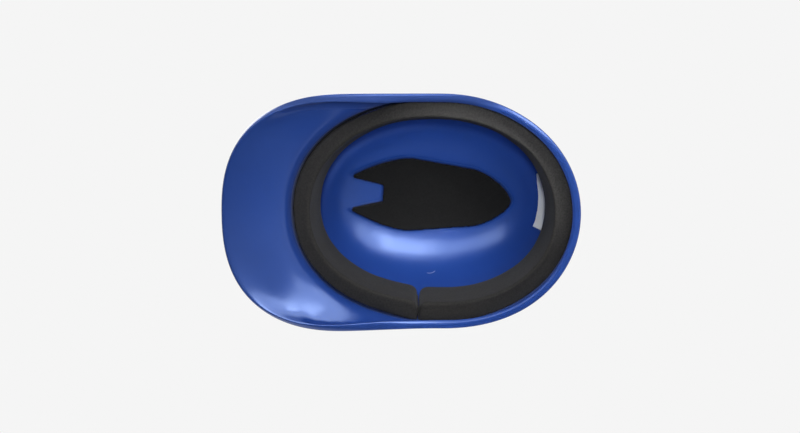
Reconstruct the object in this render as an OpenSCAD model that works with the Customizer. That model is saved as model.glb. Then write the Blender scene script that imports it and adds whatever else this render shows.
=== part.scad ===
// Catcher skull cap: a moulded shell with a short brim, lined with a foam ring and a crown pad.
// The brim points to -Y and the back of the head to +Y. It stands on its brim corners and rear rim.

/* [Shell] */
// Length of the dome over its front and back walls
dome_l = 239.4; // [218:1:258]
// Width of the dome over its side walls
dome_w = 190.4; // [176:0.5:210]
// Squareness of the dome in plan: 2 is an ellipse
dome_square = 2.1; // [2:0.01:2.3]
// Height of the crown above the surface that the cap stands on
shell_h = 129; // [120:1:155]
// Height at which the dome is widest
widest_z = 12; // [0:1:24]
// Height at which the dome passes into the skirt
shoulder_z = 36; // [32:1:54]
// Fullness of the dome: 2 is an ellipsoid, more is squarer
fullness = 2.85; // [2:0.05:3.1]
// Wall thickness
wall = 4; // [3:0.1:5]

/* [Rim] */
// How far the front edge of the brim stands out from the dome
brim_l = 52; // [40:0.1:70]
// How much wider the brim is than the rim beside the ears
brim_over = 0.9; // [-6:0.1:12]
// Length of the rounded end that the brim makes in plan
brim_end_l = 102.6; // [80:1:115]
// Squareness of that end: 2 is an ellipse
brim_square = 2.42; // [2.1:0.01:2.9]
// Slope of the brim at its front edge, in degrees
brim_slope = 13; // [5:1:22]
// How far the rear rim flares out from the dome
rear_flare = 2.3; // [0.5:0.1:5]
// Width across the rim beside the ears
ear_w = 195.7; // [176:0.2:210]
// Length of the rounded end that the rear rim makes in plan
rear_end_l = 111.8; // [85:1:120]
// Squareness of that end: 2 is an ellipse
rear_square = 2.02; // [1.8:0.01:2.4]
// Height of the brim's front edge
brim_lift = 5; // [3:0.5:12]
// Height of the rim's arch over each ear
ear_lift = 15; // [6:0.5:20]
// Width of the rim bead beside the ears
bead_side_w = 7.2; // [5:0.1:8]
// Width of the rim bead at the back
bead_back_w = 7.2; // [5:0.1:9]
// Thickness of the brim's front edge
brim_edge_t = 4.4; // [4:0.1:6]
// Distance over which the bead fades into the wall
bead_fade = 5; // [4:0.5:12]
// Radius of the bead's corners
bead_r = 1.6; // [1:0.1:2]

/* [Ring pad] */
// Thickness of the padded ring, cover included
ring_t = 13.5; // [10:0.5:18]
// Height of the padded ring
ring_h = 45; // [30:1:46]
// Height of the ring's lower edge at the front
ring_front_z = 25; // [16:0.5:32]
// Height of the ring's lower edge at the back
ring_back_z = 12; // [10:0.5:18]
// How much thicker the ring is at its upper edge than at its lower edge
ring_spread = 2.2; // [0:0.1:4]
// Width of the lower face, from the wall to where it rounds inward
ring_flat = 10; // [6:0.5:11]
// Height of the rounding between the lower face and the inner face
ring_round = 4; // [2:0.5:13]
// Thickness of the ring's fabric cover
cover_t = 1; // [0.8:0.1:1.5]
// Length of each end of the ring that is drawn in at the joint
tuck_l = 7; // [4:0.5:12]
// Share of its thickness that the ring loses at the joint
tuck_depth = 0.3; // [0.1:0.05:0.5]
// Gap between the ring's two ends
joint_gap = 0.8; // [0.5:0.1:3]
// Direction of the joint about the dome's axis, in degrees from +X
joint_a = 189; // [170:1:205]
// Height of the tape that holds the ring
ring_tape_h = 20; // [12:1:24]

/* [Crown pad] */
// Length of the pad, prong tips to nose
crown_l = 139.6; // [110:1:160]
// Greatest width of the pad
crown_w = 64; // [50:1:76]
// Thickness of the pad's foam
crown_t = 5.2; // [3:0.1:8]
// Thickness of the facing under the foam
facing_t = 0.8; // [0.5:0.1:1.5]
// Depth of the notch between the prongs
notch_l = 27; // [15:1:36]
// Width of the notch at its inner end
notch_w = 15; // [8:1:20]
// Width between the prong tips
prong_w = 31; // [24:1:40]
// How far behind the dome's axis the middle of the pad is stuck
crown_back = 2.3; // [-8:0.5:8]
// How far to the wearer's right of the middle it is stuck
crown_off = 0.6; // [-5:0.1:5]
// Turn of the pad as it is stuck in, in degrees
crown_turn = 3; // [-6:0.5:6]

/* [Label strip] */
// Width of the blank strip across the back
strip_w = 48; // [30:1:70]
// Height of the blank strip
strip_h = 26; // [18:1:32]
// Height of the strip's upper edge
strip_top_z = 95; // [88:1:102]
// How far the strip sits to one side of the middle
strip_side = 1; // [-10:1:10]
// Thickness of the strip
strip_t = 0.4; // [0.3:0.1:0.8]

/* [Fit] */
// Thickness of the tape behind the ring and the crown pad
tape_t = 0.6; // [0.4:0.1:1]
// Gap between the shell's inner wall and what is stuck to it
seat_gap = 0.4; // [0.35:0.05:0.6]
// Gap between the ring's foam and its cover
skin_gap = 0.15; // [0.1:0.05:0.3]
// Gap between the ring's lower outer edge and the rim bead
foot_gap = 0.3; // [0.3:0.1:1]

/* [Hidden] */

// Steps round the dome, and rows up each part of the shell's section
n_turn = 72;
n_dome = 12;
n_skirt = 9;
// Steps round the ring pad between its drawn-in ends
n_ring = 46;
// Turning the steps by this many degrees evens out their spacing along the brim
turn_even = 11.5;
brim_w = ear_w + brim_over;
// The dome's axis stands behind the origin, which is the middle of the whole cap
dome_y = (brim_l - rear_flare) / 2;
front_y = dome_y - dome_l / 2 - brim_l;
back_y = dome_y + dome_l / 2 + rear_flare;
brim_y = front_y + brim_end_l;
rear_y = back_y - rear_end_l;
// Directions, in degrees from the front, where the rim touches down and where it leaves the rear
corner_a = 29;
corner_half = 3;
rear_a = 153;
// Directions between which the brim's slope turns into an upright wall
brim_a = 5;
side_a = 106;
// Directions between which the brim's edge thickens into the bead beside the ears
edge_a = 8;
bead_a = 52;
// Shape of the bend between wall and brim: nearer to 1 is tighter
bend = 0.85;
// Where the ring pad's back lies, in from the wall, and the rounding of its lower outer edge,
// which keeps it clear of the rim bead
tape_u = seat_gap + tape_t;
back_u = tape_u + skin_gap;
foot_w = back_u + max(0, bead_side_w - wall + (dome_w - ear_w) / 2) + foot_gap;
foot_h = 5;
// Share of the rim's inward lean that the wall has at the ring tape's lower edge
lean_share = 0.3;
// Rounding of its upper inner edge
crest_w = 3;
crest_h = 4;
// Length of the crown pad's rounded nose, its width where the nose starts, and its front shoulders
nose_l = 36.6;
nose_w = 51;
shoulder_l = 51;
prong_tip_w = 2;

// Smooth step from 0 at a to 1 at b
function ease(a, b, x) = let (t = max(0, min(1, (x - a) / (b - a)))) t * t * (3 - 2 * t);
function mix(a, b, t) = a + (b - a) * t;
// Direction of step i about the dome's axis, with the front at 270 degrees
function turn(i) = let (p = 360 * i / n_turn + 90) p - turn_even * cos(p);
// Angle between a direction and the front, 0 to 180
function off_front(a) = acos(max(-1, min(1, -sin(a))));

// Half width of the rim outline at y
function rim_x(y) =
    y < brim_y ? brim_w / 2 * pow(max(0, 1 - pow((brim_y - y) / brim_end_l, brim_square)), 1 / brim_square)
    : y > rear_y ? ear_w / 2 * pow(max(0, 1 - pow((y - rear_y) / rear_end_l, rear_square)), 1 / rear_square)
    : mix(brim_w, ear_w, ease(brim_y, rear_y, y)) / 2;
// Distance from the dome's axis to the rim outline in direction a, by halving the interval
function rim_r(a, low = 0, high = 400, n = 22) =
    let (r = (low + high) / 2, x = abs(r * cos(a)), y = dome_y + r * sin(a),
         inside = y > front_y && y < back_y && x < rim_x(y))
    n == 0 ? r : inside ? rim_r(a, r, high, n - 1) : rim_r(a, low, r, n - 1);
// Height of the rim's lowest line in direction a
function rim_z(a) =
    let (d = off_front(a), low = corner_a - corner_half, high = corner_a + corner_half)
    d < low ? brim_lift * pow(cos(90 * d / low), 2)
    : d > high && d < rear_a ? ear_lift * pow(sin(180 * (d - high) / (rear_a - high)), 2)
    : 0;
// Slope of the shell at its rim: the brim's at the front, upright at the sides and back
function rim_slope(a) = mix(brim_slope, 90, ease(brim_a, side_a, off_front(a)));
// Thickness at the rim
function rim_t(a) =
    let (d = off_front(a), side = mix(brim_edge_t, bead_side_w, ease(edge_a, bead_a, d)))
    mix(side, bead_back_w, ease(110, 165, d));

// Radius of the dome's plan in direction a, drawn in by inset
function plan_r(a, inset) =
    pow(pow(abs(cos(a)) / (dome_w / 2 - inset), dome_square)
        + pow(abs(sin(a)) / (dome_l / 2 - inset), dome_square), -1 / dome_square);
// Share of that radius left at height z, and its inverse
function draw_in(z, inset) =
    let (t = max(0, (z - widest_z) / (shell_h - inset - widest_z)))
    pow(max(0, 1 - pow(t, fullness)), 1 / fullness);
function dome_point(a, z, inset) =
    let (r = plan_r(a, inset) * draw_in(z, inset)) [r * cos(a), dome_y + r * sin(a), z];

// The shell's section in direction a, as [radius, height] points from crown to crown round the rim
function skirt(a) =
    let (s = rim_slope(a), t = rim_t(a),
         top = [plan_r(a, 0) * draw_in(shoulder_z, 0), shoulder_z],
         above = plan_r(a, 0) * draw_in(shoulder_z + 1, 0),
         end = [rim_r(a) - bead_r * (1 - cos(s) - sin(s)),
                rim_z(a) + bead_r + (t - bead_r) * cos(s) - bead_r * sin(s)],
         out = max(0, end[0] - top[0]), drop = top[1] - end[1],
         down = bend * (drop - min(out * tan(min(s, 89)), drop / 2)),
         back = bend * min(out / max(cos(s), 0.01), drop / 2 / sin(s)))
    [top, top + down * [top[0] - above, -1], end + max(back, 1) * [-cos(s), sin(s)], end];
function curve(p, t) =
    pow(1 - t, 3) * p[0] + 3 * pow(1 - t, 2) * t * p[1] + 3 * (1 - t) * t * t * p[2] + pow(t, 3) * p[3];
function heading(p, t) =
    let (v = pow(1 - t, 2) * (p[1] - p[0]) + 2 * (1 - t) * t * (p[2] - p[1]) + t * t * (p[3] - p[2]))
    v / norm(v);
// The inner side of the skirt, square to the outer side, thicker at the bead
function skirt_inner(p, t, edge_t) =
    let (v = heading(p, t), q = curve(p, t), near = 1 - ease(0, bead_fade, norm(q - p[3]) - bead_r))
    q + mix(wall, edge_t, near) * [v[1], -v[0]];
function dome_rows(a, inset) =
    [for (k = [1:n_dome]) let (z = mix(shoulder_z, shell_h - inset, cos(90 * k / (n_dome + 0.4))))
        [plan_r(a, inset) * draw_in(z, inset), z]];
function reversed(list) = [for (k = [len(list) - 1:-1:0]) list[k]];
function shell_section(a) =
    let (p = skirt(a), t = rim_t(a), v = heading(p, 1), in = [v[1], -v[0]],
         last = 1 - bead_r / norm(p[3] - p[2]) / 3,
         outer_c = p[3] + bead_r * (in - v), inner_c = p[3] + (t - bead_r) * in - bead_r * v)
    concat(
        dome_rows(a, 0),
        [for (k = [0:n_skirt]) curve(p, last * k / n_skirt)],
        [for (f = [45, 90]) outer_c + bead_r * (sin(f) * v - cos(f) * in)],
        [for (f = [0, 45]) inner_c + bead_r * (cos(f) * v + sin(f) * in)],
        [for (k = [n_skirt:-1:1]) skirt_inner(p, last * k / n_skirt, t)],
        [[plan_r(a, wall) * draw_in(shoulder_z, wall), shoulder_z]],
        reversed(dome_rows(a, wall))
    );

// Two triangles for each cell of a grid of rows by columns, closed round its columns if asked
function grid_faces(rows, cols, wrap_rows, wrap_cols) =
    [for (i = [0:rows - (wrap_rows ? 1 : 2)], j = [0:cols - (wrap_cols ? 1 : 2)])
        let (i2 = (i + 1) % rows, j2 = (j + 1) % cols,
             p = i * cols + j, q = i * cols + j2, r = i2 * cols + j2, s = i2 * cols + j)
        each [[p, r, q], [p, s, r]]];
// A solid through closed sections, one after another, with flat ends
module run(sections) {
    n = len(sections);
    m = len(sections[0]);
    polyhedron(
        [for (s = sections) each s],
        concat(grid_faces(n, m, false, true),
               [[for (j = [0:m - 1]) j]],
               [[for (j = [m - 1:-1:0]) (n - 1) * m + j]])
    );
}
// How far the rim stands inside the dome in direction a, where it does
function lean(a) = max(0, plan_r(a, 0) - rim_r(a));
// A point on the ring's section: u in from the wall, at height z
function inside_wall(a, u, z) =
    let (q = dome_point(a, max(z, widest_z), wall), in = u + lean_share * lean(a),
         n = [q.x / pow(dome_w / 2 - wall, 2), (q.y - dome_y) / pow(dome_l / 2 - wall, 2)])
    concat([q.x, q.y] - in * n / norm(n), z);

module shell() {
    sections = [for (i = [0:n_turn - 1]) let (a = turn(i))
        [for (q = shell_section(a)) [q[0] * cos(a), dome_y + q[0] * sin(a), q[1]]]];
    m = len(sections[0]);
    tip = n_turn * m;
    color("royalblue") polyhedron(
        concat([for (s = sections) each s], [[0, dome_y, shell_h], [0, dome_y, shell_h - wall]]),
        concat(grid_faces(n_turn, m, true, false),
               [for (i = [0:n_turn - 1]) let (i2 = (i + 1) % n_turn)
                   each [[tip, i2 * m, i * m], [tip + 1, i * m + m - 1, i2 * m + m - 1]]])
    );
}

// Height of the ring's lower edge where the wall is at y
function ring_low(y) =
    mix(ring_front_z, ring_back_z, (y - (dome_y - dome_l / 2)) / dome_l);
// Directions of the ring's sections, close together at its two ends, each with its place's draw-in
end_steps = [0, 0.1, 0.3, 0.6, 1];
deg_per_mm = 180 / PI / plan_r(joint_a, wall + ring_t / 2);
function end_turn(s) = (joint_gap / 2 + s * tuck_l) * deg_per_mm;
function drawn(s) = 1 - sqrt(1 - pow(1 - s, 2));
ring_stops = concat(
    [for (s = end_steps) [joint_a + end_turn(s), drawn(s)]],
    [for (k = [1:n_ring - 1]) [joint_a + mix(end_turn(1), 360 - end_turn(1), k / n_ring), 0]],
    [for (s = reversed(end_steps)) [joint_a + 360 - end_turn(s), drawn(s)]]
);
// The ring's section as [in from the wall, up] points from wall to wall, drawn in by inset
function pad_outline(inset) =
    let (t = ring_t - inset, top = ring_h - inset, wide = t + ring_spread)
    concat(
        [for (f = [0, 45, 90]) [mix(foot_w, back_u, cos(f)), inset + foot_h * (1 - sin(f))]],
        [for (f = [0, 30, 60, 90]) [mix(ring_flat, t, sin(f)), mix(ring_round, inset, cos(f))]],
        [for (f = [0, 45, 90]) [wide - crest_w * (1 - cos(f)), top - crest_h * (1 - sin(f))]],
        [[back_u, top]]
    );
// The same section set in place at one stop round the ring
function ring_loop(stop, outline) =
    let (y = inside_wall(stop[0], 0, 0).y, z = ring_low(y), e = stop[1])
    [for (q = outline) inside_wall(stop[0],
        q[0] * (1 - tuck_depth * e),
        z + mix(q[1], ring_h / 2, q[1] < ring_h / 2 ? tuck_depth * e * 0.4 : 0))];

module ring_pad_foam() {
    color([0.2, 0.2, 0.2]) run([for (s = ring_stops) ring_loop(s, pad_outline(cover_t))]);
}
module ring_pad_cover() {
    outline = concat(pad_outline(0), reversed(pad_outline(cover_t - skin_gap)));
    color([0.15, 0.15, 0.15]) run([for (s = ring_stops) ring_loop(s, outline)]);
}
module ring_pad_tape() {
    low = (ring_h - ring_tape_h) / 2;
    outline = [[seat_gap, low], [tape_u, low], [tape_u, low + ring_tape_h], [seat_gap, low + ring_tape_h]];
    color("white") run([for (s = ring_stops) ring_loop(s, outline)]);
}

// Half of the crown pad's outline, from the notch round a prong to the nose
function crown_side() =
    let (nose_y = crown_l / 2 - nose_l, prong_y = -crown_l / 2)
    concat(
        [[notch_w / 2, prong_y + notch_l], [prong_w / 2 - prong_tip_w, prong_y + prong_tip_w / 2],
         [prong_w / 2, prong_y]],
        [for (t = [0.1:0.1:1])
            [mix(prong_w, crown_w, 1 - pow(1 - t, 1.7)) / 2, prong_y + shoulder_l * t]],
        [for (t = [0:0.0625:1])
            [nose_w / 2 * pow(1 - pow(t, 1.5), 1 / 1.5), nose_y + nose_l * t]]
    );
module crown_outline() {
    side = crown_side();
    translate([-crown_off, dome_y + crown_back]) rotate(crown_turn)
        polygon(concat(side, [for (q = reversed(side)) [-q.x, q.y]]));
}
// The space under the dome drawn in by inset, with steps that line up with the shell's
module under_dome(inset) {
    rows = [for (i = [0:2:n_turn - 1]) let (a = turn(i))
        [for (q = dome_rows(a, inset)) [q[0] * cos(a), dome_y + q[0] * sin(a), q[1]]]];
    n = len(rows);
    polyhedron(
        concat([for (r = rows) each r], [[0, dome_y, shell_h - inset]]),
        concat(grid_faces(n, n_dome, true, false),
               [for (i = [0:n - 1]) [n * n_dome, ((i + 1) % n) * n_dome, i * n_dome]],
               [[for (i = [0:n - 1]) i * n_dome + n_dome - 1]])
    );
}
module crown_layer(inset, t) {
    intersection() {
        difference() {
            under_dome(inset);
            under_dome(inset + t);
        }
        translate([0, 0, shoulder_z]) linear_extrude(shell_h) crown_outline();
    }
}
crown_seat = wall + seat_gap;
module crown_pad_foam() {
    color([0.25, 0.22, 0.2]) crown_layer(crown_seat + tape_t, crown_t);
}
module crown_pad_facing() {
    color([0.12, 0.12, 0.12]) crown_layer(crown_seat + tape_t + crown_t, facing_t);
}
module crown_pad_tape() {
    color("white") crown_layer(crown_seat, tape_t);
}

module blank_strip() {
    half = strip_w / 2 / plan_r(90, wall) / draw_in(strip_top_z - strip_h / 2, wall) * 180 / PI;
    mid = 90 - strip_side / strip_w * 2 * half;
    function row(a, inset) = [for (k = [0:3]) dome_point(a, strip_top_z - strip_h * k / 3, inset)];
    color("silver") run([for (a = [mid - half:half / 4:mid + half + 0.01])
        concat(row(a, crown_seat), reversed(row(a, crown_seat + strip_t)))]);
}

shell();
ring_pad_foam();
ring_pad_cover();
ring_pad_tape();
crown_pad_foam();
crown_pad_facing();
crown_pad_tape();
blank_strip();
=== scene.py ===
import math

import bpy
import bmesh
from mathutils import Matrix, Vector, noise
from mathutils.bvhtree import BVHTree


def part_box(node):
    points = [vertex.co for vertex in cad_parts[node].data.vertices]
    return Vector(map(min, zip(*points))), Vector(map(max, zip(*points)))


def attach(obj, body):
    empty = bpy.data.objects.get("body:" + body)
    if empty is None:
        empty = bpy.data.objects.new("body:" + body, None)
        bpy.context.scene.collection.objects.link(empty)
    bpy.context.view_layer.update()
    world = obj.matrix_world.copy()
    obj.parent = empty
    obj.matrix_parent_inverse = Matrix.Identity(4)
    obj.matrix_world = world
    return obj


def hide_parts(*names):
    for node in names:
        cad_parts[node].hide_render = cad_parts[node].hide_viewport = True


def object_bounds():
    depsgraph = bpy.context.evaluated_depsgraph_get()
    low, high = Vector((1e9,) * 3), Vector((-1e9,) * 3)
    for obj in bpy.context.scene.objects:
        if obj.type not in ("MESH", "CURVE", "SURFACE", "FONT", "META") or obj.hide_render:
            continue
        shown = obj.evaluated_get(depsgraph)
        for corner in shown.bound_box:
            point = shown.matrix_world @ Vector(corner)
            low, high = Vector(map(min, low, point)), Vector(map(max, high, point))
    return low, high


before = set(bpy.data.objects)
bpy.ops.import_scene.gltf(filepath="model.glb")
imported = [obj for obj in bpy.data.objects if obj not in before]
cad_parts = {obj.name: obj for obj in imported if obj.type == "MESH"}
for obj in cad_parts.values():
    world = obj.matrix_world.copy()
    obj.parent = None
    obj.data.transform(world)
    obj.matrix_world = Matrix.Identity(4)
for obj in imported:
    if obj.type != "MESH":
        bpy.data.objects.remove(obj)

bl_info = {
    "name": "Catcher skull cap",
    "version": (1, 0, 0),
    "blender": (4, 5, 0),
    "location": "3D View > Sidebar > Skull Cap",
    "description": "Finishes the moulded shell, foam ring, crown pad and blank strip of a skull cap",
    "category": "Object",
}

MM = 0.001
BODY = "root"
CAD_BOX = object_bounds()
RING_LOW, RING_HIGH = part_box("ring_pad_cover")
RING_MIDDLE = (RING_LOW + RING_HIGH) / 2
BLACK = (0.0, 0.0, 0.0, 1.0)
WHITE = (1.0, 1.0, 1.0, 1.0)


class SkullCapSizes(bpy.types.PropertyGroup):
    """Sizes that set how finely the cap's pieces are made"""
    shell_levels: bpy.props.IntProperty(
        name="Shell smoothing", description="Subdivisions of the moulded shell", default=2, min=1, max=3)
    cover_t: bpy.props.FloatProperty(
        name="Ring cover", description="Thickness of the ring pad's fabric cover",
        default=1.0 * MM, subtype="DISTANCE", unit="LENGTH")
    crown_voxel: bpy.props.FloatProperty(
        name="Crown pad step", description="Size of the cells that the crown pad is remeshed in",
        default=1.0 * MM, subtype="DISTANCE", unit="LENGTH")
    facing_t: bpy.props.FloatProperty(
        name="Crown facing", description="Thickness of the facing on the crown pad",
        default=0.8 * MM, subtype="DISTANCE", unit="LENGTH")


class SkullCapColours(bpy.types.PropertyGroup):
    """Colours of the cap's materials and of its stage, as sRGB hex values"""
    shell: bpy.props.StringProperty(
        name="Shell", description="Royal blue of the moulded shell", default="214290")
    glint: bpy.props.StringProperty(
        name="Shell glint", description="Tint of the light that the shell mirrors", default="B4CCFF")
    scuff: bpy.props.StringProperty(
        name="Scuff", description="Pale scratch on the dome's inner side", default="C8D4F0")
    cover: bpy.props.StringProperty(
        name="Ring cover", description="Black of the ring pad's cover", default="252423")
    # Grey of the light painted onto the ring cover's lower face, towards the cap's back and left
    painted_light: bpy.props.StringProperty(
        name="Painted light", description="Grey of the lint on the ring pad's cover", default="424140")
    facing: bpy.props.StringProperty(
        name="Crown facing", description="Black of the crown pad's facing", default="161616")
    foam_edge: bpy.props.StringProperty(
        name="Foam edge", description="Cut edge of the crown pad's foam", default="1A1612")
    strip: bpy.props.StringProperty(
        name="Blank strip", description="Grey of the blank strip", default="E4E6E6")
    tape: bpy.props.StringProperty(
        name="Tape", description="Adhesive tape behind the pads", default="1E1E1E")
    backdrop: bpy.props.StringProperty(
        name="Backdrop", description="Pale background and floor", default="F5F5F5")
    room: bpy.props.StringProperty(
        name="Room", description="Cool light of the room below the cap", default="DDE3EE")


def sizes():
    """The scene's sizes, as its properties hold them"""
    return bpy.context.scene.skull_cap_sizes


def colours():
    """The scene's colours, as its properties hold them"""
    return bpy.context.scene.skull_cap_colours


def linear(hex_colour):
    """Linear RGBA of an sRGB hex colour"""
    parts = [int(hex_colour[i:i + 2], 16) / 255 for i in (0, 2, 4)]
    return tuple(c / 12.92 if c <= 0.04045 else ((c + 0.055) / 1.055) ** 2.4 for c in parts) + (1.0,)


def shaded(hex_colour, factor):
    """The linear colour of hex_colour made lighter or darker by factor"""
    r, g, b, a = linear(hex_colour)
    return (r * factor, g * factor, b * factor, a)


def feed(tree, socket, value):
    """Links value to socket if it is an output, and else sets the socket to it"""
    if isinstance(value, bpy.types.NodeSocket):
        tree.links.new(value, socket)
    else:
        socket.default_value = value


def add_node(tree, kind, numbered=None, **named):
    """Adds a node. Its sockets and settings are named, or sockets are numbered, and each gets a value"""
    node = tree.nodes.new(kind)
    for name, value in named.items():
        if hasattr(node, name):
            setattr(node, name, value)
        else:
            feed(tree, node.inputs[name.replace("_", " ")], value)
    for number, value in (numbered or {}).items():
        feed(tree, node.inputs[number], value)
    return node


def computed(tree, operation, *values):
    """The number that an operation on numbers gives"""
    return add_node(tree, "ShaderNodeMath", dict(enumerate(values)), operation=operation).outputs[0]


def measured(tree, operation, *vectors):
    """The number that an operation on vectors gives"""
    node = add_node(tree, "ShaderNodeVectorMath", dict(enumerate(vectors)), operation=operation)
    return node.outputs["Value"]


def part_of(tree, vector, axis):
    """A vector's part along axis X, Y or Z"""
    return add_node(tree, "ShaderNodeSeparateXYZ", Vector=vector).outputs[axis]


def spread(tree, value, low, high, first=0.0, last=1.0, kind="LINEAR"):
    """value, from low to high, spread over first to last and held there beyond them"""
    return add_node(tree, "ShaderNodeMapRange", Value=value, From_Min=low, From_Max=high,
                    To_Min=first, To_Max=last, interpolation_type=kind).outputs["Result"]


def mixed(tree, factor, first, second):
    """The colours first and second blended by factor, each of them an output or a linear colour"""
    # Sockets 6 and 7 are a colour mix's A and B, and output 2 is its result
    return add_node(tree, "ShaderNodeMix", {6: first, 7: second}, data_type="RGBA", Factor=factor).outputs[2]


def ramp(tree, source, *stops):
    """A colour ramp over source with (place, colour) stops"""
    node = add_node(tree, "ShaderNodeValToRGB", Fac=source)
    elements = node.color_ramp.elements
    while len(elements) < len(stops):
        elements.new(0.5)
    for element, (place, colour) in zip(elements, stops):
        element.position = place
        element.color = colour
    return node.outputs["Color"]


def grain(tree, place, step, detail=2.0):
    """Noise whose lumps are about step metres across"""
    return add_node(tree, "ShaderNodeTexNoise", Vector=place, Scale=1 / step, Detail=detail).outputs["Fac"]


def bumped(tree, height, depth, onto=None):
    """A normal that height, from 0 to 1, raises by depth metres, on top of the normal onto"""
    node = add_node(tree, "ShaderNodeBump", Height=height, Strength=1.0, Distance=depth)
    if onto is not None:
        tree.links.new(onto, node.inputs["Normal"])
    return node.outputs["Normal"]


def new_material(name):
    """An empty material, its tree and the coordinates on its piece"""
    material = bpy.data.materials.new(name)
    material.use_nodes = True
    tree = material.node_tree
    tree.nodes.clear()
    place = tree.nodes.new("ShaderNodeTexCoord").outputs["Object"]
    return material, tree, place


def surfaced(tree, kind, shader):
    """Puts shader on the output of a material or a world"""
    output = tree.nodes.new(kind)
    tree.links.new(shader.outputs[0], output.inputs["Surface"])


def coated(material, tint, normal, **values):
    """material, with a Principled shader of this base colour and normal and of values by socket"""
    tree = material.node_tree
    shader = add_node(tree, "ShaderNodeBsdfPrincipled", Base_Color=tint, Normal=normal, **values)
    surfaced(tree, "ShaderNodeOutputMaterial", shader)
    return material


def blended(tree, factor, first, second):
    """The shaders first and second blended by factor"""
    return add_node(tree, "ShaderNodeMixShader", {1: first.outputs[0], 2: second.outputs[0]}, Fac=factor)


def shell_abs():
    """Injection-moulded ABS: one even royal blue with a moulded gloss, whose reflections waver a little
    where the wall cooled, and a haze of fine rub marks from being packed and handled. Shade is painted into
    the blue on the left rim's lower face and within a few mm of the parts stuck to the shell."""
    material, tree, place = new_material("Royal blue gloss ABS, moulded")
    colour = colours().shell
    tint = ramp(tree, grain(tree, place, 60 * MM), (0.3, shaded(colour, 0.94)), (0.7, shaded(colour, 1.05)))
    wave = bumped(tree, grain(tree, place, 30 * MM, 1.0), 0.12 * MM)
    skin = bumped(tree, grain(tree, place, 1.2 * MM), 0.004 * MM, wave)
    rubs = spread(tree, grain(tree, place, 9 * MM, 6.0), 0.0, 1.0, 0.16, 0.26)

    # The left side's flared rim is duller on its lower face, all but the outer edge, and painted shade darkens
    # its blue there
    normal = add_node(tree, "ShaderNodeNewGeometry").outputs["Normal"]
    under = spread(tree, part_of(tree, normal, "Z"), -0.3, 0.0, 1.0, 0.0)
    across = spread(tree, part_of(tree, place, "X"), 80 * MM, 100 * MM)
    rim_shade_and_dull = spread(tree, ramp(tree, across, (0.2, BLACK), (0.55, WHITE), (0.79, WHITE), (0.86, BLACK)),
                  0.0, 1.0, 0.0, under)
    tint = mixed(tree, rim_shade_and_dull, tint, shaded(colour, 0.55))

    # Within a few mm of what is stuck to the shell, ambient occlusion paints shade into its blue and dulls its
    # gloss
    openness = add_node(tree, "ShaderNodeAmbientOcclusion", samples=8, Distance=3.5 * MM).outputs["AO"]
    occluded_shade_and_dull = spread(tree, openness, 0.5, 0.85, 1.0, 0.0)
    tint = mixed(tree, occluded_shade_and_dull, tint, shaded(colour, 0.5))
    dull = computed(tree, "MAXIMUM", spread(tree, rim_shade_and_dull, 0.0, 1.0, 0.0, 0.6),
                    spread(tree, occluded_shade_and_dull, 0.0, 1.0, 0.0, 0.5))

    # One faint curved scuff on the dome's inner side: the line of a circle, where it passes near a point
    circle_middle, circle_radius = Vector((-63.3, 25, 110)) * MM, 7 * MM
    scuff_middle = Vector((-68, 27, 105)) * MM
    off_line = computed(tree, "ABSOLUTE", computed(
        tree, "SUBTRACT", measured(tree, "DISTANCE", place, circle_middle), circle_radius))
    line = spread(tree, off_line, 0.1 * MM, 0.5 * MM, 0.42, 0.0)
    scuff = spread(tree, measured(tree, "DISTANCE", place, scuff_middle), 3 * MM, 4.5 * MM, line, 0.0)
    tint = mixed(tree, scuff, tint, linear(colours().scuff))
    return coated(material, tint, skin, Roughness=computed(tree, "ADD", rubs, dull), IOR=1.54,
                  Specular_IOR_Level=1.0, Specular_Tint=linear(colours().glint),
                  Sheen_Weight=0.06, Sheen_Roughness=0.5)


def ring_cover():
    """Black knitted nylon laminated to foam: dull, with a short nap that greys it where light grazes it. Light
    is painted grey onto its lower face towards the cap's back and left.
    """
    material, tree, place = new_material("Black laminated nylon knit")
    colour = colours().cover
    nap = grain(tree, place, 1.4 * MM, 3.0)
    tint = ramp(tree, nap, (0.3, shaded(colour, 0.75)), (0.7, shaded(colour, 1.35)))
    # Painted light greys the lower face towards the cap's back and left
    back_and_left = (0.8, 0.6, 0.0)
    most = spread(tree, measured(tree, "DOT_PRODUCT", place, back_and_left), 50 * MM, 120 * MM)
    normal = add_node(tree, "ShaderNodeNewGeometry").outputs["Normal"]
    painted_light = spread(tree, part_of(tree, normal, "Z"), -0.95, -0.5, most, 0.0, "SMOOTHSTEP")
    painted_light_tint = ramp(tree, nap, (0.3, shaded(colours().painted_light, 0.7)), (0.7, shaded(colours().painted_light, 1.3)))
    lumps = bumped(tree, grain(tree, place, 14 * MM), 0.25 * MM)
    # The knit's 0.4 mm loops are drawn 1.4 mm across, the finest that the render shows
    knit = bumped(tree, nap, 0.12 * MM, lumps)
    return coated(material, mixed(tree, painted_light, tint, painted_light_tint), knit,
                  Roughness=0.88, Specular_IOR_Level=0.25, Sheen_Weight=0.04, Sheen_Roughness=0.5)


def crown_facing():
    """Black brushed tricot glued flat to the crown foam: matte, near black, hardly any nap."""
    material, tree, place = new_material("Black brushed tricot facing")
    colour = colours().facing
    nap = grain(tree, place, 1.6 * MM, 3.0)
    tint = ramp(tree, nap, (0.25, shaded(colour, 0.8)), (0.75, shaded(colour, 1.25)))
    return coated(material, tint, bumped(tree, nap, 0.08 * MM),
                  Roughness=0.92, Specular_IOR_Level=0.25, Sheen_Weight=0.04, Sheen_Roughness=0.5)


def foam_edge():
    """Die-cut closed-cell foam: warm charcoal, with the open halves of its small cells along the cut."""
    material, tree, place = new_material("Charcoal closed-cell foam, die cut")
    colour = colours().foam_edge
    cells = add_node(tree, "ShaderNodeTexVoronoi", Vector=place, Scale=1 / (0.9 * MM)).outputs["Distance"]
    tint = ramp(tree, cells, (0.1, shaded(colour, 0.7)), (0.6, shaded(colour, 1.4)))
    return coated(material, tint, bumped(tree, cells, 0.2 * MM), Roughness=0.85)


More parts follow.
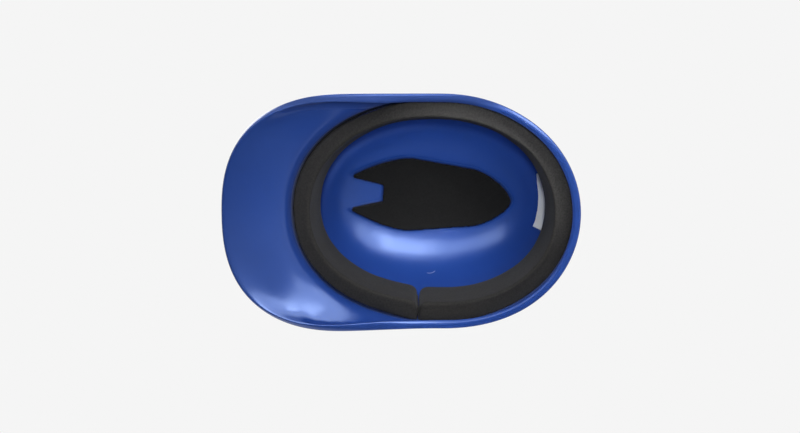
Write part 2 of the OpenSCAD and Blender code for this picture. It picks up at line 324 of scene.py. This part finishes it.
def strip_film():
    """Grey satin polyester film: smooth, faintly streaked, with a soft broad shine."""
    material, tree, place = new_material("Grey satin polyester film")
    colour = colours().strip
    tint = ramp(tree, grain(tree, place, 6 * MM), (0.3, shaded(colour, 0.96)), (0.7, shaded(colour, 1.03)))
    return coated(material, tint, bumped(tree, grain(tree, place, 8 * MM), 0.05 * MM), Roughness=0.42)


def foam_tape():
    """Black double-sided foam tape: dull, with the fine pits of its foam core."""
    material, tree, place = new_material("Black foam tape")
    colour = colours().tape
    pits = grain(tree, place, 1.0 * MM)
    tint = ramp(tree, pits, (0.3, shaded(colour, 0.92)), (0.7, shaded(colour, 1.03)))
    return coated(material, tint, bumped(tree, pits, 0.05 * MM), Roughness=0.7)


def studio_floor():
    """Pale matte floor that is seen from above, fades with distance and lets the view from below through"""
    material, tree, place = new_material("Pale matte studio floor")
    colour = colours().backdrop
    tint = ramp(tree, grain(tree, place, 400 * MM), (0.3, shaded(colour, 0.985)), (0.7, shaded(colour, 1.0)))
    from_below = add_node(tree, "ShaderNodeNewGeometry").outputs["Backfacing"]
    faded = spread(tree, measured(tree, "LENGTH", place), 0.3, 1.4, from_below, 1.0, "SMOOTHSTEP")
    surfaced(tree, "ShaderNodeOutputMaterial", blended(
        tree, faded, add_node(tree, "ShaderNodeBsdfDiffuse", Color=tint),
        add_node(tree, "ShaderNodeBsdfTransparent")))
    return material


def pick(obj):
    """Selects obj alone and makes it active"""
    bpy.ops.object.select_all(action="DESELECT")
    obj.select_set(True)
    bpy.context.view_layer.objects.active = obj


def edited(obj, *steps):
    """Runs edit-mode steps, as functions, on all of obj"""
    pick(obj)
    bpy.ops.object.mode_set(mode="EDIT")
    bpy.ops.mesh.select_all(action="SELECT")
    for step in steps:
        step()
    bpy.ops.object.mode_set(mode="OBJECT")


def apply_modifier(obj, kind, **values):
    """Adds a modifier with these settings to obj and applies it"""
    pick(obj)
    modifier = obj.modifiers.new(kind.title(), kind)
    for name, value in values.items():
        setattr(modifier, name, value)
    bpy.ops.object.modifier_apply(modifier=modifier.name)


def copied(node, name):
    """A merged copy of a CAD node, in quads where two triangles lie together"""
    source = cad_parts[node]
    mesh = source.data.copy()
    mesh.transform(source.matrix_world)
    mesh.materials.clear()
    obj = bpy.data.objects.new(name, mesh)
    bpy.context.scene.collection.objects.link(obj)
    quad_angle = math.radians(60)
    edited(obj,
           lambda: bpy.ops.mesh.remove_doubles(threshold=0.01 * MM),
           lambda: bpy.ops.mesh.normals_make_consistent(inside=False),
           lambda: bpy.ops.mesh.tris_convert_to_quads(
               face_threshold=quad_angle, shape_threshold=quad_angle))
    return obj


def smoothed(obj, degrees=None):
    """Smooth shading, only between faces that meet at less than degrees if that is given"""
    pick(obj)
    if degrees is None:
        bpy.ops.object.shade_smooth()
    else:
        bpy.ops.object.shade_smooth_by_angle(angle=math.radians(degrees))


def dressed(obj, material, slot, *nodes):
    """Gives obj its material and its place in the frame"""
    obj.data.materials.clear()
    obj.data.materials.append(material)
    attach(obj, BODY)
    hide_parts(*nodes)


def towards_wall(point):
    """Level direction from a point of the ring to the shell's wall behind it"""
    half = (RING_HIGH - RING_LOW) / 2
    return Vector((
        (point.x - RING_MIDDLE.x) / half.x ** 2, (point.y - RING_MIDDLE.y) / half.y ** 2, 0)).normalized()


def eased(low, high, value):
    """0 below low, 1 above high and a smooth step between them"""
    share = max(0, min(1, (value - low) / (high - low)))
    return share * share * (3 - 2 * share)


def shell_tree():
    """The CAD shell as a tree that rays can be cast at"""
    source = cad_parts["shell"]
    return BVHTree.FromPolygons([source.matrix_world @ v.co for v in source.data.vertices],
                                [tuple(f.vertices) for f in source.data.polygons])


class SKULLCAP_OT_shell(bpy.types.Operator):
    """Makes the moulded shell with its brim and rim bead"""
    bl_idname = "skullcap.shell"
    bl_label = "Moulded shell"

    # The bead's faces are narrower than this, and meet at its inner corner at angles between these, in
    # radians
    bead_face, corner_angles = 1.6 * MM, (0.55, 1.0)
    # A turn is an angle in degrees from the brim's middle to either side. The inner corner moves in by
    # widened, which comes over the first pair of turns and goes over the second
    widened, widens, narrows = 2.4 * MM, (26, 50), (60, 82)
    # The inner corner is rounded off by this much, which comes over these turns
    rounded, rounds = 1.0 * MM, (30, 60)
    # The edge's outer corner goes down this share of the way to the inner one, which comes over the first
    # pair of turns and goes over the second
    lowered, lowers, lifts = 0.9, (46, 64), (78, 98)
    # It and the next two vertices out go down by these parts of that, if the edge is this wide
    parts, least_width = (1.0, 0.9, 0.5), 1.0 * MM

    def execute(self, context):
        levels = sizes().shell_levels
        shell = copied("shell", "moulded_shell")
        self.shape_bead(shell.data)
        apply_modifier(shell, "SUBSURF", levels=levels, render_levels=levels)
        for vertex in shell.data.vertices:
            vertex.co.z = max(vertex.co.z, CAD_BOX[0][2])
        smoothed(shell)
        dressed(shell, shell_abs(), "shell_abs", "shell")
        return {"FINISHED"}

    def outwards(self, vertex):
        """Level direction from the cap's middle to vertex"""
        return Vector((vertex.co.x, vertex.co.y - RING_MIDDLE.y, 0)).normalized()

    def straight(self, way, out):
        """True if way runs in or out rather than along the bead"""
        return abs(way.normalized().cross(out).z) < 0.3

    def is_corner(self, edge):
        """True for an edge of the bead's inner corner, which faces down and not outwards"""
        low, high = self.corner_angles
        narrow = [face.calc_area() / edge.calc_length() < self.bead_face for face in edge.link_faces]
        normal = (edge.verts[0].normal + edge.verts[1].normal) / 2
        return (narrow == [True, True] and low < edge.calc_face_angle() < high
                and normal.z < -0.5 and normal.dot(self.outwards(edge.verts[0])) < 0.5)

    def shape_bead(self, mesh):
        """Widens and levels the edge's lower face beside the brim's corners, and rounds the inner corner"""
        shape = bmesh.new()
        shape.from_mesh(mesh)
        # A dict keeps the order of the vertices, so that each run gives the same shape
        corner = dict.fromkeys(vertex for edge in shape.edges if self.is_corner(edge) for vertex in edge.verts)
        moves = {}
        for vertex in corner:
            out = self.outwards(vertex)
            turn = math.degrees(math.atan2(abs(out.x), -out.y))
            inward = -out * self.widened * eased(*self.widens, turn) * (1 - eased(*self.narrows, turn))
            round_off = eased(*self.rounds, turn) * self.rounded
            moves[vertex] = inward - vertex.normal * 0.5 * round_off
            for edge in vertex.link_edges:
                other = edge.other_vert(vertex)
                if other not in corner and self.straight(other.co - vertex.co, out):
                    moves[other] = inward + (other.co - vertex.co).normalized() * round_off
            self.level(vertex, out, eased(*self.lowers, turn) * (1 - eased(*self.lifts, turn)), moves)
        for vertex, move in moves.items():
            vertex.co += move
        shape.to_mesh(mesh)
        shape.free()

    def level(self, corner, out, share, moves):
        """Adds moves that lower the edge's outer corner by share, so that the edge's lower face lies level"""
        last, here, drop = None, corner, 0
        for part in self.parts:
            others = [edge.other_vert(here) for edge in here.link_edges]
            others = [other for other in others
                      if other is not last and self.straight(other.co - here.co, out)]
            if not others:
                return
            reach, outer = max((((other.co - here.co).dot(out), other) for other in others),
                               key=lambda pair: pair[0])
            if last is None and reach < self.least_width:
                return
            drop = drop or max(0, outer.co.z - corner.co.z) * self.lowered * share
            moves[outer] = moves.get(outer, Vector()) - Vector((0, 0, drop * part))
            last, here = here, outer


class SKULLCAP_OT_ring_pad(bpy.types.Operator):
    """Makes the padded ring with its cover drawn round the foam"""
    bl_idname = "skullcap.ring_pad"
    bl_label = "Ring pad"

    # The ring is tipped: its lower face's height is taken beyond this distance to the front and back
    ends_beyond = 80 * MM
    # Height over the lower face where the wall's distance is taken, and where the settling ends
    measured_at, settled_to = 22 * MM, 16 * MM
    # Distances to the wall from the ring's outer side to its inner side
    depths = (1 * MM, 13 * MM)
    # Lift of the lower outer edge, and the height over which it runs out
    lift, lift_to = 4.5 * MM, 14 * MM
    # Then that edge goes to the wall but for a gap: the shares of the outer side, the places from front
    # to back and the heights over which this comes or goes
    wall_gap, pressed_share = 0.3 * MM, (0.4, 0.9)
    pressed_y, pressed_up = (-25 * MM, 15 * MM), (6 * MM, 12 * MM)
    # How far the two rays look for the wall
    far_look, near_look = 40 * MM, 12 * MM
    # Where the ring bulges inwards: direction and spread in degrees, height in mm
    bulges = ((170, 30, 1.9), (243, 20, 3.0), (280, 12, 1.0), (8, 15, 1.5))
    # The joint of the ring's two ends: its direction in degrees, the ring's radius there, how far the
    # joint is moved along the ring, and the distances over which that runs out
    joint_turn, joint_radius, joint_shift, shift_fades = 260, 83 * MM, 3.0 * MM, (12 * MM, 45 * MM)
    # The ends are rounded over this length, by this many mm, and moved together by this much
    end_length, end_round, end_close = 10 * MM, 4.0, 0.45 * MM
    # The foam's swells: how far apart they are, and their height in mm
    swells = ((28 * MM, 0.5), (11 * MM, 0.15))

    def execute(self, context):
        ring = copied("ring_pad_foam", "ring_pad")
        self.cover_foam(ring.data)
        apply_modifier(ring, "SUBSURF", levels=3, render_levels=3)
        self.settle(ring.data)
        self.swell(ring.data)
        smoothed(ring)
        dressed(ring, ring_cover(), "pad_cover", "ring_pad_foam", "ring_pad_cover")
        return {"FINISHED"}

    def cover_foam(self, mesh):
        """Moves the foam's faces out by the cover, but not towards the wall or along the ring"""
        moves = []
        for vertex in mesh.vertices:
            wall = towards_wall(vertex.co)
            step = vertex.normal * sizes().cover_t
            moves.append(wall * min(0, step.dot(wall)) + Vector((0, 0, step.z)))
        for vertex, move in zip(mesh.vertices, moves):
            vertex.co += move

    def settle(self, mesh):
        """Bulges the ring and rounds its ends, lifts its lower outer edge and presses that to the wall"""
        tree = shell_tree()
        ends = [min(vertex.co.z for vertex in mesh.vertices
                    if side * (vertex.co.y - RING_MIDDLE.y) > self.ends_beyond) for side in (-1, 1)]
        for vertex in mesh.vertices:
            co = vertex.co
            wall = towards_wall(co)
            share = (co.y - RING_LOW.y) / (RING_HIGH.y - RING_LOW.y)
            up = co.z - (ends[0] + (ends[1] - ends[0]) * share)
            level = Vector((co.x, co.y, co.z - up + self.measured_at))
            depth = tree.ray_cast(level, wall, self.far_look)[3]
            if depth is None:
                continue
            outer = 1 - eased(*self.depths, depth)
            self.bulge(co, wall, outer)
            if up > self.settled_to:
                continue
            co.z += self.lift * outer * (1 - eased(0, self.lift_to, up))
            gap = tree.ray_cast(co, wall, self.near_look)[3]
            if gap is not None:
                vertex.co = co + (
                    wall * max(0, gap - self.wall_gap) * eased(*self.pressed_share, outer)
                    * eased(*self.pressed_y, co.y) * (1 - eased(*self.pressed_up, up)))

    def bulge(self, co, wall, outer):
        """Moves the ring's inner side in where it bulges and out at the joint, and moves the joint along"""
        turn = math.degrees(math.atan2(co.x, co.y - RING_MIDDLE.y)) % 360
        height = sum(most * math.exp(-(((turn - middle + 180) % 360 - 180) / width) ** 2 / 2)
                     for middle, width, most in self.bulges)
        along = (turn - self.joint_turn) * math.radians(1) * self.joint_radius
        end = 1 - min(1, abs(along) / self.end_length)
        height -= self.end_round * (1 - math.sqrt(1 - end * end))
        co -= wall * height * MM * (1 - outer)
        tangent = Vector((-wall.y, wall.x, 0))
        if 0 < end:
            co -= tangent * math.copysign(self.end_close * eased(0.7, 1, end), along)
        co -= tangent * self.joint_shift * (1 - eased(*self.shift_fades, abs(along)))

    def swell(self, mesh):
        """Lets the free faces of the foam swell and dip a little, as glued foam does round a curve"""
        moves = []
        for vertex in mesh.vertices:
            free = max(0, -vertex.normal.dot(towards_wall(vertex.co))) + max(0, -vertex.normal.z)
            lump = sum(noise.noise(vertex.co / apart) * height for apart, height in self.swells)
            moves.append(vertex.normal * min(free, 1) * lump * MM)
        for vertex, move in zip(mesh.vertices, moves):
            vertex.co += move


class SKULLCAP_OT_crown_pad(bpy.types.Operator):
    """Makes the notched crown pad: its die-cut foam and the facing on it"""
    bl_idname = "skullcap.crown_pad"
    bl_label = "Crown pad"

    outline_passes = 8

    def execute(self, context):
        foam = copied("crown_pad_foam", "crown_pad_foam_slab")
        apply_modifier(foam, "REMESH", mode="VOXEL", voxel_size=sizes().crown_voxel)
        apply_modifier(foam, "SMOOTH", factor=0.5, iterations=6)
        facing = self.face_of(foam)
        smoothed(foam)
        smoothed(facing, 50)
        dressed(foam, foam_edge(), "pad_foam", "crown_pad_foam")
        dressed(facing, crown_facing(), "crown_facing", "crown_pad_facing")
        return {"FINISHED"}

    def face_of(self, foam):
        """A sheet on the foam's lower side, cut to the foam's outline"""
        facing = bpy.data.objects.new("crown_pad_face", foam.data.copy())
        bpy.context.scene.collection.objects.link(facing)
        shape = bmesh.new()
        shape.from_mesh(facing.data)
        away = [face for face in shape.faces if face.normal.z > -0.5]
        bmesh.ops.delete(shape, geom=away, context="FACES")
        border = [vertex for vertex in shape.verts if vertex.is_boundary]
        for _ in range(self.outline_passes):
            bmesh.ops.smooth_vert(
                shape, verts=border, factor=0.5, use_axis_x=True, use_axis_y=True, use_axis_z=True)
        shape.to_mesh(facing.data)
        shape.free()
        apply_modifier(facing, "SOLIDIFY", thickness=sizes().facing_t, offset=1.0)
        return facing


class SKULLCAP_OT_blank_strip(bpy.types.Operator):
    """Makes the blank grey strip across the back of the shell"""
    bl_idname = "skullcap.blank_strip"
    bl_label = "Blank strip"

    # How much longer the strip's right half gets, and how far and from where the left end's corner is cut
    stretched, cut, cut_from = 1.18, 2 * MM, 12 * MM
    # The rays that seat it on the wall start this far in front of it and are this long
    ray_start, ray_length = Vector((0, 10 * MM, 0)), 30 * MM

    def execute(self, context):
        strip = copied("blank_strip", "blank_grey_strip")
        apply_modifier(strip, "SUBSURF", levels=2, render_levels=2, subdivision_type="SIMPLE")
        self.trim(strip.data)
        smoothed(strip, 50)
        dressed(strip, strip_film(), "blank_strip", "blank_strip")
        return {"FINISHED"}

    def trim(self, mesh):
        """Draws the strip's right end out by about 4 mm along the wall and cuts the left's upper corner"""
        tree = shell_tree()
        backwards = Vector((0, 1, 0))
        low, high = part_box("blank_strip")
        for vertex in mesh.vertices:
            co = vertex.co
            hit = tree.ray_cast(co - self.ray_start, backwards, self.ray_length)[0]
            share = eased(self.cut_from, high.x, co.x) * (co.z - low.z) / (high.z - low.z)
            moved = Vector((co.x * (self.stretched if co.x < 0 else 1), co.y, co.z - self.cut * share))
            onto = tree.ray_cast(moved - self.ray_start, backwards, self.ray_length)[0]
            if hit is not None and onto is not None:
                vertex.co = moved + Vector((0, onto.y - hit.y, 0))


class SKULLCAP_OT_tapes(bpy.types.Operator):
    """Gives the tapes behind the pads their finish"""
    bl_idname = "skullcap.tapes"
    bl_label = "Tapes"

    def execute(self, context):
        material = foam_tape()
        for name in ("ring_pad_tape", "crown_pad_tape"):
            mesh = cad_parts[name].data
            mesh.materials.clear()
            mesh.materials.append(material)
        return {"FINISHED"}


class SKULLCAP_OT_stage(bpy.types.Operator):
    """Sets the floor, the pale background, the lamps and the camera"""
    bl_idname = "skullcap.stage"
    bl_label = "Stage"

    middle = Vector((0, 0, 40 * MM))
    # Lamps that are only seen in reflections, and lamps that aren't: name, direction from the middle,
    # size and power
    mirrored_at, fills_at, spots_at = 1.2, 1.6, 1.2
    mirrored = (
        ("Key reflection", (0.55, 0.22, -0.78), (0.56, 0.5), 6.2),
        ("Key's far half", (0.50, 0.54, -0.67), (0.6, 0.58), 2.4),
        ("Side reflection", (0.55, -0.40, -0.73), (0.9, 0.42), 3.0),
        ("Low reflection", (0.82, 0.42, -0.38), (0.9, 0.5), 3.2),
        ("Glow", (0.68, 0.30, -0.66), (1.3, 1.1), 3.0))
    fills = (
        ("Left fill", (0.82, 0.14, -0.50), (1.0, 1.0), 17.0),
        ("Right fill", (-0.78, 0.05, -0.60), (1.0, 1.0), 9.0))
    # Spots through the ring: name, target, direction from it, width in degrees, blend and power
    spots = (
        ("Snooted spot", RING_MIDDLE, (0.22, -0.02, -0.97), 10.9, 0.15, 63.0),
        ("Back spot", Vector((20, 125, 25)) * MM, (0.35, 0.45, -0.82), 12.0, 1.0, 18.0))

    def execute(self, context):
        self.lay_floor()
        self.set_world(context.scene)
        for name, way, size, power in self.mirrored:
            self.hang_lamp(name, self.mirrored_at * Vector(way), size, power).visible_diffuse = False
        for name, way, size, power in self.fills:
            self.hang_lamp(name, self.fills_at * Vector(way), size, power).visible_glossy = False
        for spot in self.spots:
            self.hang_spot(*spot).visible_glossy = False
        self.hang_lamp("Overhead", Vector((0.8, -0.6, 1.36)), (1.2, 1.2), 16.0)
        self.place_camera(context.scene)
        return {"FINISHED"}

    def lay_floor(self):
        """Lays the floor, which gives and takes no shadow or light of its own"""
        bpy.ops.object.select_all(action="DESELECT")
        bpy.ops.mesh.primitive_plane_add(size=6.0)
        floor = bpy.context.object
        floor.name = "floor"
        floor.data.materials.append(studio_floor())
        floor.visible_shadow = floor.visible_diffuse = floor.visible_glossy = False

    def set_world(self, scene):
        """Pale where the camera or a reflection looks up or level, a dimmer room below and for fill"""
        world = bpy.data.worlds.new("Studio")
        world.use_nodes = True
        scene.world = world
        tree = world.node_tree
        tree.nodes.clear()
        path = tree.nodes.new("ShaderNodeLightPath").outputs
        way = tree.nodes.new("ShaderNodeTexCoord").outputs["Generated"]
        above = spread(tree, part_of(tree, way, "Z"), -0.25, 0.05)
        # Reflections see the room brighter towards the cap's back and left
        back_and_left = (0.75, 0.5, 0.0)
        lit = spread(tree, measured(tree, "DOT_PRODUCT", way, back_and_left), -0.35, 0.8, 0.0, 1.1)
        room = computed(tree, "MULTIPLY_ADD", lit, path["Is Glossy Ray"], 0.12)
        bounced = computed(tree, "MAXIMUM", path["Is Glossy Ray"], path["Is Transmission Ray"])
        seen = computed(tree, "MAXIMUM", path["Is Camera Ray"], computed(tree, "MULTIPLY", bounced, above))
        fill = add_node(tree, "ShaderNodeBackground", Strength=room, Color=linear(colours().room))
        pale = add_node(tree, "ShaderNodeBackground", Strength=1.0, Color=linear(colours().backdrop))
        surfaced(tree, "ShaderNodeOutputWorld", blended(tree, seen, fill, pale))
        scene.view_settings.view_transform = "Standard"

    def hang_lamp(self, name, away, size, power):
        """A soft box that faces the middle, size[0] along the cap's length and size[1] across that"""
        lamp = bpy.data.lights.new(name, "AREA")
        lamp.shape = "RECTANGLE"
        lamp.size, lamp.size_y = size
        return self.hang(lamp, self.middle + away, self.middle, power)

    def hang_spot(self, name, target, way, degrees, blend, power):
        """A spot whose cone is degrees wide, so that it lights the inside through the ring, not the brim"""
        lamp = bpy.data.lights.new(name, "SPOT")
        lamp.spot_size = math.radians(degrees)
        lamp.spot_blend = blend
        lamp.shadow_soft_size = 0.1
        return self.hang(lamp, target + self.spots_at * Vector(way), target, power)

    def hang(self, lamp, place, target, power):
        """Hangs a lamp at place, turned to target"""
        lamp.energy = power
        obj = bpy.data.objects.new(lamp.name, lamp)
        back = (place - target).normalized()
        across = back.cross(Vector((0, 1, 0))).normalized()
        obj.matrix_world = Matrix.Translation(place) @ Matrix(
            (across.cross(back), -across, back)).transposed().to_4x4()
        bpy.context.scene.collection.objects.link(obj)
        return obj

    def place_camera(self, scene):
        """The camera looks straight into the cap from below, tipped a few degrees, brim to the left"""
        tilt, distance = math.radians(8.8), 1.3
        left, down = 0.81 * MM, 0.89 * MM
        right = Vector((0, 1, 0))
        up = Vector((math.cos(tilt), 0, math.sin(tilt)))
        back = right.cross(up)
        view = bpy.data.cameras.new("Camera")
        view.sensor_width = 36.0
        view.lens = 72.04
        camera = bpy.data.objects.new("Camera", view)
        camera.matrix_world = Matrix.Translation(distance * back - left * right - down * up) @ Matrix(
            (right, up, back)).transposed().to_4x4()
        scene.collection.objects.link(camera)
        scene.camera = camera


class SKULLCAP_PT_sidebar(bpy.types.Panel):
    """Lists the cap's sizes, colours and pieces"""
    bl_idname = "SKULLCAP_PT_sidebar"
    bl_label = "Skull cap"
    bl_space_type = "VIEW_3D"
    bl_region_type = "UI"
    bl_category = "Skull Cap"

    def draw(self, context):
        for settings in (sizes(), colours()):
            box = self.layout.box()
            for name in settings.__annotations__:
                box.prop(settings, name)
        for operator in OPERATORS:
            self.layout.operator(operator.bl_idname)


OPERATORS = (SKULLCAP_OT_shell, SKULLCAP_OT_ring_pad, SKULLCAP_OT_crown_pad, SKULLCAP_OT_blank_strip,
             SKULLCAP_OT_tapes, SKULLCAP_OT_stage)
CLASSES = (SkullCapSizes, SkullCapColours) + OPERATORS + (SKULLCAP_PT_sidebar,)


def register():
    for cls in CLASSES:
        bpy.utils.register_class(cls)
    bpy.types.Scene.skull_cap_sizes = bpy.props.PointerProperty(type=SkullCapSizes)
    bpy.types.Scene.skull_cap_colours = bpy.props.PointerProperty(type=SkullCapColours)


def unregister():
    del bpy.types.Scene.skull_cap_colours
    del bpy.types.Scene.skull_cap_sizes
    for cls in reversed(CLASSES):
        bpy.utils.unregister_class(cls)


def main():
    register()
    bpy.ops.skullcap.shell()
    bpy.ops.skullcap.ring_pad()
    bpy.ops.skullcap.crown_pad()
    bpy.ops.skullcap.blank_strip()
    bpy.ops.skullcap.tapes()
    bpy.ops.skullcap.stage()


if __name__ == "__main__":
    main()
